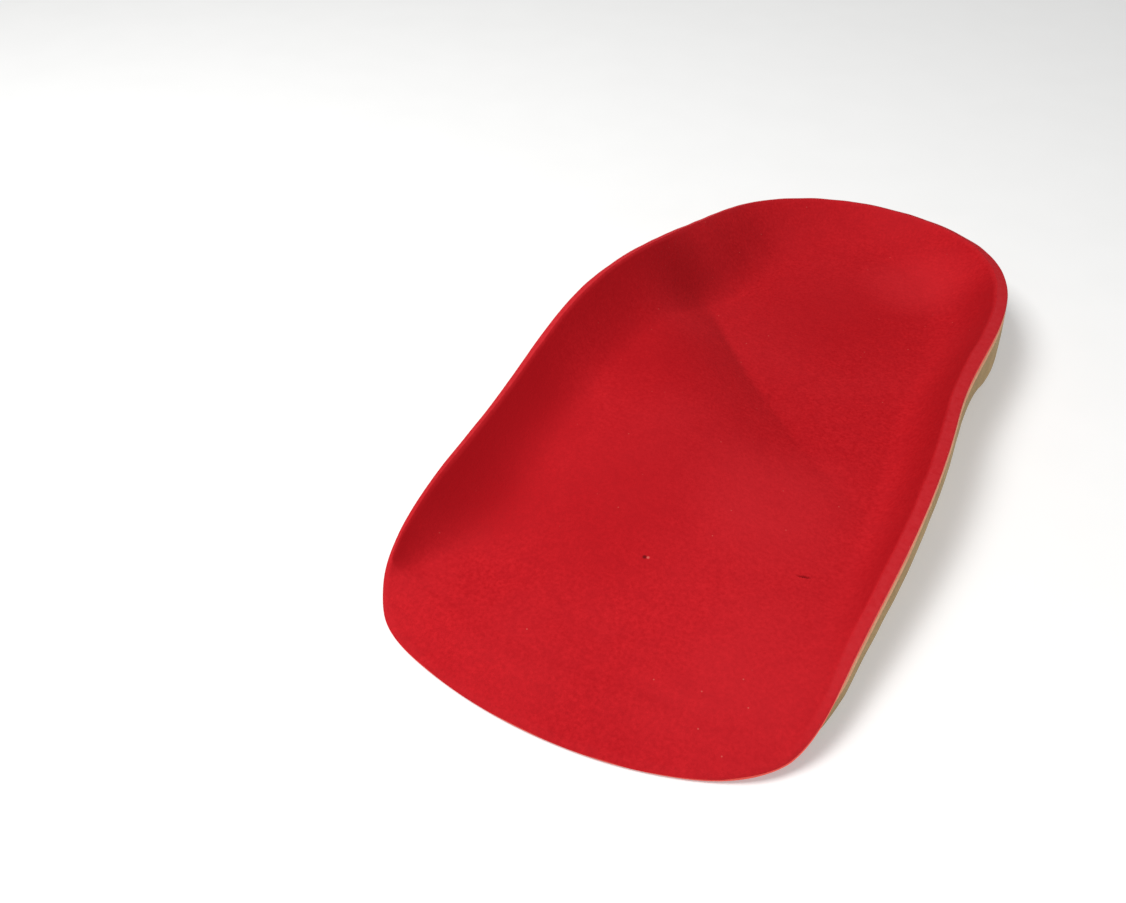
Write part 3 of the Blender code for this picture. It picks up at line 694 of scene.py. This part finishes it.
class Nodes:
    """Short calls for building a material's nodes."""

    def __init__(self, name):
        self.material = bpy.data.materials.new(name)
        self.material.use_nodes = True
        self.tree = self.material.node_tree
        self.shader = self.tree.nodes["Principled BSDF"]
        self.place = self.add("ShaderNodeTexCoord").outputs["Object"]

    def add(self, kind, **settings):
        node = self.tree.nodes.new(kind)
        for key, value in settings.items():
            setattr(node, key, value)
        return node

    def link(self, source, target):
        self.tree.links.new(source, target)

    def put(self, socket, value):
        """Link a socket to an output, or set it to a value."""
        if isinstance(value, bpy.types.NodeSocket):
            self.link(value, socket)
        else:
            socket.default_value = value

    def noise(self, scale, detail=2.0, roughness=0.5, place=None):
        node = self.add("ShaderNodeTexNoise")
        self.link(place or self.place, node.inputs["Vector"])
        node.inputs["Scale"].default_value = scale
        node.inputs["Detail"].default_value = detail
        node.inputs["Roughness"].default_value = roughness
        return node.outputs["Fac"]

    def cells(self, scale):
        node = self.add("ShaderNodeTexVoronoi")
        self.link(self.place, node.inputs["Vector"])
        node.inputs["Scale"].default_value = scale
        return node.outputs["Distance"], node.outputs["Color"]

    def stretched(self, scale):
        node = self.add("ShaderNodeMapping")
        self.link(self.place, node.inputs["Vector"])
        node.inputs["Scale"].default_value = scale
        return node.outputs["Vector"]

    def far_from(self, place):
        node = self.add("ShaderNodeVectorMath", operation="DISTANCE")
        self.link(self.place, node.inputs[0])
        node.inputs[1].default_value = place
        return node.outputs["Value"]

    def attribute(self, name):
        return self.add("ShaderNodeAttribute", attribute_name=name).outputs["Fac"]

    def range(self, value, low, high, to_low=0.0, to_high=1.0):
        node = self.add("ShaderNodeMapRange")
        self.put(node.inputs["Value"], value)
        node.inputs["From Min"].default_value = low
        node.inputs["From Max"].default_value = high
        node.inputs["To Min"].default_value = to_low
        node.inputs["To Max"].default_value = to_high
        return node.outputs["Result"]

    def math(self, operation, first, second):
        node = self.add("ShaderNodeMath", operation=operation)
        self.put(node.inputs[0], first)
        self.put(node.inputs[1], second)
        return node.outputs["Value"]

    def mix(self, share, first, second):
        node = self.add("ShaderNodeMix", data_type="RGBA")
        self.put(node.inputs["Factor"], share)
        colours = [socket for socket in node.inputs if socket.type == "RGBA"]
        self.put(colours[0], first)
        self.put(colours[1], second)
        return next(socket for socket in node.outputs if socket.type == "RGBA")

    def bump(self, height, strength, distance, below=None):
        node = self.add("ShaderNodeBump")
        self.put(node.inputs["Height"], height)
        node.inputs["Strength"].default_value = strength
        node.inputs["Distance"].default_value = distance
        if below is not None:
            self.link(below, node.inputs["Normal"])
        return node.outputs["Normal"]

    def finish(self, colour, roughness, normal, **fixed):
        self.put(self.shader.inputs["Base Color"], colour)
        self.put(self.shader.inputs["Roughness"], roughness)
        self.put(self.shader.inputs["Normal"], normal)
        for name, value in fixed.items():
            self.shader.inputs[name.replace("_", " ")].default_value = value
        return self.material


def colour(red, green, blue):
    """A colour given as it looks on screen, from 0 to 255, as the linear value that a shader takes."""
    shares = [channel / 255 for channel in (red, green, blue)]
    linear = [c / 12.92 if c <= 0.04045 else ((c + 0.055) / 1.055) ** 2.4 for c in shares]
    return (*linear, 1.0)


def specks(n):
    """The share of a light speck at each place: one small dot in some of the cells."""
    distance, cell = n.cells(SPECK_CELL_SCALE)
    chance = n.add("ShaderNodeSeparateColor")
    n.link(cell, chance.inputs["Color"])
    rare = n.math("GREATER_THAN", chance.outputs["Red"], SPECKLESS_SHARE)
    speck = n.math("MULTIPLY", n.range(distance, SPECK_EDGE, SPECK_CORE), rare)
    return n.math("MULTIPLY", speck, SPECK_STRENGTH)


def with_patches(n, red):
    """The red with its patches of painted shade and painted light, and a darker patch in the middle of the
    heel cup.
    """
    for patch in PATCHES:
        away = n.far_from((patch.x, patch.y, patch.z))
        share = n.range(away, patch.reach, patch.reach * PATCH_CORE, 0.0, patch.strength)
        shade = PAINTED_LIGHT_RED if patch.lighter else DARKER_PATCH_RED
        red = n.mix(share, red, colour(*shade))
    return red


def with_pinprick(n, red):
    """The red with the pinprick and the light speck beside it."""
    prick_core = PINPRICK_REACH * PINPRICK_CORE
    prick = n.range(n.far_from(PINPRICK), PINPRICK_REACH, prick_core, 0.0, PINPRICK_STRENGTH)
    red = n.mix(prick, red, colour(*NICK_RED))
    speck_edge = PINPRICK_REACH * PINPRICK_SPECK_EDGE
    speck_core = PINPRICK_REACH * PINPRICK_SPECK_CORE
    speck = n.range(n.far_from(PINPRICK_SPECK), speck_edge, speck_core, 0.0, PINPRICK_SPECK_STRENGTH)
    return n.mix(speck, red, colour(*PINPRICK_PINK))


def cover_material():
    """Matte red cover: fine pile, faint mottling, light specks, a paler trimmed lip, painted shade and
    painted light.
    """
    n = Nodes("red cover")
    pile = n.noise(*PILE_PATTERN)
    clumps = n.noise(*CLUMP_PATTERN)
    mottling = n.noise(*MOTTLE_PATTERN)
    red = n.mix(n.range(pile, *PILE_FADE), colour(*PILE_DARKER), colour(*PILE_LIGHTER))
    red = n.mix(n.range(clumps, *CLUMP_FADE), red, colour(*CLUMP_RED))
    red = n.mix(n.range(mottling, *MOTTLE_FADE), red, colour(*MOTTLE_RED))
    red = n.mix(specks(n), red, colour(*SPECK_PINK))
    red = with_patches(n, red)
    # Painted shade on the walls beside the lip
    red = n.mix(n.range(n.attribute("painted_wall_shade"), 0.0, 1.0, 0.0, WALL_SHADE_STRENGTH), red, colour(*WALL_SHADE_RED))
    lip = n.attribute("lip")
    fuzz = n.range(n.noise(*LIP_FUZZ_PATTERN), *LIP_FUZZ_FADE)
    red = n.mix(n.math("MULTIPLY", lip, fuzz), red, colour(*LIP_RED))
    # The cut side painted paler: a cut edge's colour, and also painted light against its shade
    red = n.mix(n.attribute("trimmed"), red, colour(*CUT_SIDE_PALE_AND_PAINTED_LIGHT_RED))
    red = n.mix(n.range(n.attribute("cut"), 0.0, 1.0, 0.0, NICK_STRENGTH), red, colour(*NICK_RED))
    red = with_pinprick(n, red)
    normal = n.bump(pile, *PILE_BUMP)
    normal = n.bump(clumps, *CLUMP_BUMP, normal)
    return n.finish(red, n.range(pile, *COVER_ROUGHNESS), normal, Specular_IOR_Level=COVER_SHINE)


def tan_material():
    """Thin tan layer: fine fibreboard with soft, slightly redder blotches."""
    n = Nodes("tan layer")
    fibre = n.noise(*TAN_FIBRE_PATTERN)
    blotch = n.noise(*TAN_BLOTCH_PATTERN)
    tan = n.mix(n.range(fibre, *TAN_FIBRE_FADE), colour(*TAN_DARKER), colour(*TAN_LIGHTER))
    tan = n.mix(n.range(blotch, *TAN_BLOTCH_FADE), tan, colour(*TAN_BLOTCH_TONE))
    normal = n.bump(fibre, *TAN_FIBRE_BUMP)
    return n.finish(tan, n.range(fibre, *TAN_ROUGHNESS), normal, Specular_IOR_Level=TAN_SHINE)


def shell_material():
    """Khaki foam shell: a fine grain, grinding marks along the edge, and painted shade near the floor."""
    n = Nodes("khaki shell")
    grain = n.noise(*SHELL_GRAIN_PATTERN)
    grind = n.noise(*GRIND_PATTERN, n.stretched(GRIND_STRETCH))
    blotch = n.noise(*SHELL_BLOTCH_PATTERN)
    khaki = n.mix(n.range(grain, *SHELL_GRAIN_FADE), colour(*KHAKI_DARKER), colour(*KHAKI_LIGHTER))
    khaki = n.mix(n.range(grind, *GRIND_FADE), khaki, colour(*GRIND_BROWN))
    khaki = n.mix(n.range(blotch, *SHELL_BLOTCH_FADE), khaki, colour(*KHAKI_BLOTCH_TONE))
    # Painted shade near the floor, where the shell curves under
    khaki = n.mix(n.attribute("low"), khaki, colour(*KHAKI_FLOOR_SHADE))
    normal = n.bump(grain, *SHELL_GRAIN_BUMP)
    normal = n.bump(grind, *GRIND_BUMP, normal)
    return n.finish(khaki, n.range(grain, *SHELL_ROUGHNESS), normal, Specular_IOR_Level=SHELL_SHINE)


def lip_mark(s, inward, front, along):
    """How much of the paler lip each point of the cover has. It fades towards the toes."""
    lip = np.clip((s.lip - inward) / LIP_BLEND + 0.5, 0.0, 1.0) * (1 - LIP_FRONT_LOSS * front)
    return lip * (1 - LIP_TOE_LOSS * ease((along - LIP_TOE_START) / LIP_TOE_REACH))


def painted_wall_shade_mark(s, inward, front, along):
    """How much painted shade each point of the cover gets on the walls, beside the lip."""
    outer_side = OUTER_WALL_SHADE * ease((along - OUTER_WALL_SHADE_START) / OUTER_WALL_SHADE_REACH)
    outer_side *= 1 - OUTER_WALL_SHADE_LOSS * ease((along - OUTER_LOSS_START) / OUTER_LOSS_REACH)
    arch_side = ARCH_WALL_SHADE * ease((along - ARCH_WALL_SHADE_START) / ARCH_WALL_SHADE_REACH)
    arch_side += ARCH_WALL_SHADE_MORE * ease((along - ARCH_MORE_START) / ARCH_MORE_REACH)
    beside = np.clip((inward - s.lip) / LIP_BLEND, 0.0, 1.0)
    painted_wall_shade = beside * ease(1 - (inward - s.lip) / (WALL_SHADE_SHARE * s.wall)) * (1 - front)
    return painted_wall_shade * np.where(s.x > s.spine_x, arch_side, outer_side)


def build_cover(s, shift):
    """The red cover, with its lip, its walls' painted shade and its paler, partly painted-light cut side
    marked for its material and its nicks cut.
    """
    columns = cover_surface(s)
    data = solid_mesh("cover", columns, shift)
    inward = np.hypot(columns[..., 0] - s.x, columns[..., 1] - s.y)
    front = np.clip(s.flap / (FLAP_LENGTH * FULL_FRONT_FLAP), 0.0, 1.0)
    along = s.y / LENGTH
    set_share(data, "lip", lip_mark(s, inward, front, along))
    set_share(data, "painted_wall_shade", painted_wall_shade_mark(s, inward, front, along))
    # The cut side's rings, painted paler as a cut edge and as painted light
    trimmed = np.zeros(columns.shape[:2])
    first_side_ring = BED_RING_COUNT + WALL_RING_COUNT + LIP_RING_COUNT
    trimmed[:, first_side_ring:first_side_ring + len(CUT_SIDE_RINGS) + 1] = 1.0
    set_share(data, "trimmed", trimmed)
    cut_nicks(data)
    cover = add_piece("cover", data, cover_material(), "top_cover")


def build_tan_layer(s, shift):
    """The thin tan layer."""
    data = solid_mesh("tan_layer", tan_surface(s), shift)
    add_piece("tan_layer", data, tan_material(), "middle_layer")


def build_shell(s, shift):
    """The khaki shell, with painted shade towards its foot."""
    columns = shell_surface(s)
    data = solid_mesh("shell", columns, shift)
    # How much painted shade each point of the shell gets near the floor
    low = np.clip(1 - columns[..., 2] / SHELL_SHADE_HEIGHT, 0.0, 1.0) * SHELL_SHADE_SHARE
    set_share(data, "low", low)
    add_piece("shell", data, shell_material(), "base")


def area_light(name, place, aim, size, power):
    """A soft rectangular light, so wide and so high, that looks at a point."""
    data = bpy.data.lights.new(name, "AREA")
    data.shape = "RECTANGLE"
    data.size, data.size_y = size
    data.energy = power
    lamp = bpy.data.objects.new(name, data)
    lamp.location = place
    lamp.rotation_euler = (Vector(aim) - Vector(place)).to_track_quat("-Z", "Y").to_euler()
    lamp.visible_camera = False
    bpy.context.scene.collection.objects.link(lamp)


def build_floor():
    """A plain pale floor that glows a little, so that shadows on it stay light."""
    mesh = bmesh.new()
    bmesh.ops.create_grid(mesh, x_segments=1, y_segments=1, size=FLOOR_HALF_SIZE)
    data = bpy.data.meshes.new("floor")
    mesh.to_mesh(data)
    mesh.free()
    floor = bpy.data.objects.new("floor", data)
    floor.location.z = -FLOOR_DROP
    bpy.context.scene.collection.objects.link(floor)
    n = Nodes("pale floor")
    paper = n.noise(*FLOOR_PATTERN)
    pale = n.mix(paper, FLOOR_DARKER, FLOOR_PALER)
    normal = n.bump(paper, *FLOOR_BUMP)
    pale_floor = n.finish(pale, FLOOR_ROUGHNESS, normal, Specular_IOR_Level=FLOOR_SHINE)
    n.shader.inputs["Emission Color"].default_value = WHITE
    n.shader.inputs["Emission Strength"].default_value = FLOOR_GLOW
    data.materials.append(pale_floor)


def build_lights():
    """Soft studio light from above the toes' arch side, from low on the outer side and from all round."""
    area_light("key", KEY_PLACE, KEY_AIM, KEY_SIZE, KEY_POWER)
    area_light("side", SIDE_PLACE, SIDE_AIM, SIDE_SIZE, SIDE_POWER)
    world = bpy.data.worlds.new("studio")
    world.use_nodes = True
    background = world.node_tree.nodes["Background"]
    background.inputs["Color"].default_value = WHITE
    background.inputs["Strength"].default_value = FILL_STRENGTH
    bpy.context.scene.world = world
    bpy.context.scene.view_settings.view_transform = "Standard"


def build_camera():
    """The camera at the photograph's viewing angle."""
    lens = bpy.data.cameras.new("camera")
    lens.lens = CAMERA_LENS
    lens.sensor_width = SENSOR_WIDTH
    lens.clip_start = NEAREST_SEEN
    camera = bpy.data.objects.new("camera", lens)
    camera.location = CAMERA_PLACE
    camera.rotation_euler = [math.radians(turn) for turn in CAMERA_TURN]
    bpy.context.scene.collection.objects.link(camera)
    bpy.context.scene.camera = camera


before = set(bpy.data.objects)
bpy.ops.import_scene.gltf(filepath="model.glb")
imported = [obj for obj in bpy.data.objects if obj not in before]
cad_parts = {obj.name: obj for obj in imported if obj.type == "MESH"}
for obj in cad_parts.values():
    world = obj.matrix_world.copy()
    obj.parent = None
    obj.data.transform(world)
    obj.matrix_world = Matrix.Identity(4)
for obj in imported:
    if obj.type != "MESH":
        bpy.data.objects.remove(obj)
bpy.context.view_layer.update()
stations = rim_stations()
everything = np.concatenate([
    surface(stations).reshape(-1, 3) for surface in (cover_surface, tan_surface, shell_surface)
])
middle = (everything.min(axis=0) + everything.max(axis=0)) / 2
shift = np.array((-middle[0], -middle[1], 0.0))
build_cover(stations, shift)
build_tan_layer(stations, shift)
build_shell(stations, shift)
build_floor()
build_lights()
build_camera()
